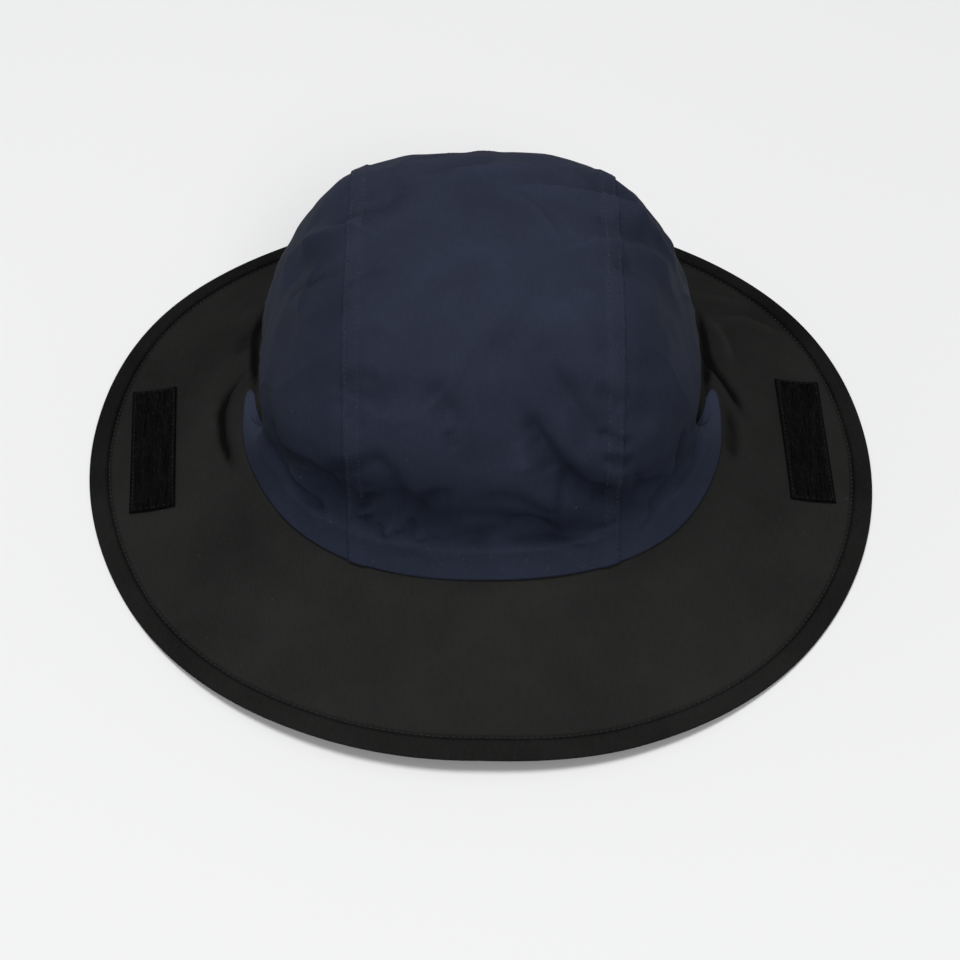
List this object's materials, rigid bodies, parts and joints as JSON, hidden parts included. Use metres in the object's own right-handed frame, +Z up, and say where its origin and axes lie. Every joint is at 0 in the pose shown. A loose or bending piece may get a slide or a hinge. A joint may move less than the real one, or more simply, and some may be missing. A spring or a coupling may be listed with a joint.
{
  "type": "sun hat",
  "caption": "Soft sun and rain hat with a domed cloth crown sewn from panels, a wide stiffened brim with a turned hem, and a touch-fastening patch on each side of the brim.",
  "frame": {"origin": "on the surface that the hat rests on, under the middle of the brim", "axes": "+Z up out of the crown, -Y towards the front of the hat, +X towards the side seen at the right from the front"},
  "size_m": [0.3534, 0.3432, 0.1425],
  "materials": {
    "navy_cloth": "satin",
    "black_cloth": "matte",
    "patch_pile": "matte"
  },
  "bodies": {
    "root": {"crown_middle": "navy_cloth", "crown_left": "navy_cloth", "crown_right": "navy_cloth", "brim": "black_cloth", "patch_left": "patch_pile", "patch_right": "patch_pile"}
  },
  "joints": []
}
